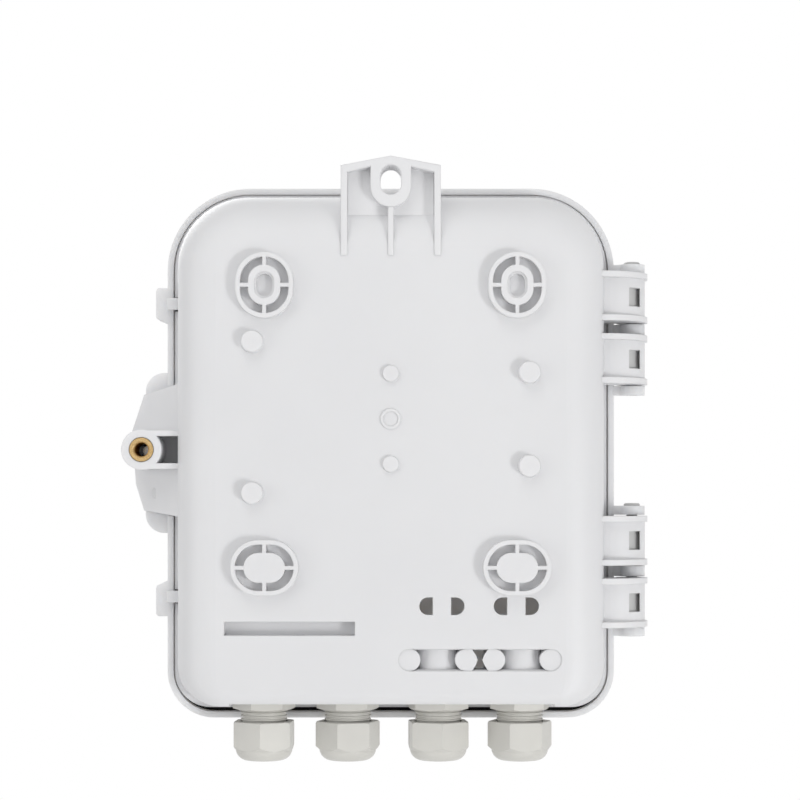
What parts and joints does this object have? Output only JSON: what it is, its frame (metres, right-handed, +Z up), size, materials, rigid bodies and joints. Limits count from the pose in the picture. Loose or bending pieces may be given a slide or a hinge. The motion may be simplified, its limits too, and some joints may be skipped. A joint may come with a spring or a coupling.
{
  "type": "fibre distribution box",
  "caption": "Wall-hung plastic box with a hinged, screw-locked cover, cable glands below, and a splice tray and fibre adapters inside.",
  "frame": {"origin": "centre of the hanging hole, in the plane of the flat back", "axes": "+Z up as hung, +Y out of the back towards the wall, so the cover faces -Y"},
  "size_m": [0.2336, 0.075, 0.2642],
  "materials": {
    "shell_plastic": "satin moulded",
    "gland_nylon": "fine satin",
    "gasket_foam": "foam, matt",
    "seal_rubber": "smooth, matt",
    "holder_rubber": "smooth, matt",
    "pin_plastic": "satin moulded",
    "lock_steel": "turned",
    "screw_steel": "plated",
    "insert_brass": "turned",
    "tray_plastic": "satin moulded",
    "lid_clear": "clear, gloss",
    "adapter_plastic": "satin moulded",
    "cap_plastic": "soft gloss"
  },
  "bodies": {
    "base": {"base_shell": "shell_plastic", "hinge_pin_upper": "pin_plastic", "hinge_pin_lower": "pin_plastic", "lock_insert": "insert_brass", "gland_washers": "seal_rubber", "gland_locknuts": "gland_nylon", "splice_tray": "tray_plastic", "tray_lid": "lid_clear", "sleeve_holder": "holder_rubber", "tray_screws": "screw_steel", "adapter_bracket": "tray_plastic", "bracket_screws": "screw_steel", "cable_clamp_1": "shell_plastic", "cable_clamp_2": "shell_plastic", "clamp_screws": "screw_steel", "gland_body_1": "gland_nylon", "gland_seal_1": "seal_rubber", "gland_body_2": "gland_nylon", "gland_seal_2": "seal_rubber", "gland_body_3": "gland_nylon", "gland_seal_3": "seal_rubber", "gland_body_4": "gland_nylon", "gland_seal_4": "seal_rubber", "adapter_1": "adapter_plastic", "adapter_cap_1": "cap_plastic", "adapter_2": "adapter_plastic", "adapter_cap_2": "cap_plastic", "adapter_3": "adapter_plastic", "adapter_cap_3": "cap_plastic", "adapter_4": "adapter_plastic", "adapter_cap_4": "cap_plastic", "adapter_5": "adapter_plastic", "adapter_cap_5": "cap_plastic", "adapter_6": "adapter_plastic", "adapter_cap_6": "cap_plastic", "adapter_7": "adapter_plastic", "adapter_cap_7": "cap_plastic", "adapter_8": "adapter_plastic", "adapter_cap_8": "cap_plastic"},
    "cover": {"door_cover": "shell_plastic", "door_gasket": "gasket_foam", "lock_seal": "seal_rubber"},
    "lock_screw": {"lock_screw": "lock_steel"},
    "gland_nut_1": {"gland_nut_1": "gland_nylon"},
    "gland_nut_2": {"gland_nut_2": "gland_nylon"},
    "gland_nut_3": {"gland_nut_3": "gland_nylon"},
    "gland_nut_4": {"gland_nut_4": "gland_nylon"}
  },
  "joints": [
    {"name": "cover_hinge", "type": "hinge", "parent": "base", "child": "cover", "pos_m": [-0.108, -0.033, -0.1168], "axis": [0, 0, -1], "range_deg": [0, 180]},
    {"name": "lock_screw_slide", "type": "slide", "parent": "cover", "child": "lock_screw", "axis": [0, 1, 0], "range_m": [0, 0.01]},
    {"name": "gland_nut_turn_1", "type": "hinge", "parent": "base", "child": "gland_nut_1", "pos_m": [0.056, -0.019, -0.245], "axis": [0, 0, -1], "continuous": true},
    {"name": "gland_nut_turn_2", "type": "hinge", "parent": "base", "child": "gland_nut_2", "pos_m": [0.019, -0.019, -0.245], "axis": [0, 0, -1], "continuous": true},
    {"name": "gland_nut_turn_3", "type": "hinge", "parent": "base", "child": "gland_nut_3", "pos_m": [-0.021, -0.019, -0.245], "axis": [0, 0, -1], "continuous": true},
    {"name": "gland_nut_turn_4", "type": "hinge", "parent": "base", "child": "gland_nut_4", "pos_m": [-0.057, -0.019, -0.245], "axis": [0, 0, -1], "continuous": true}
  ]
}
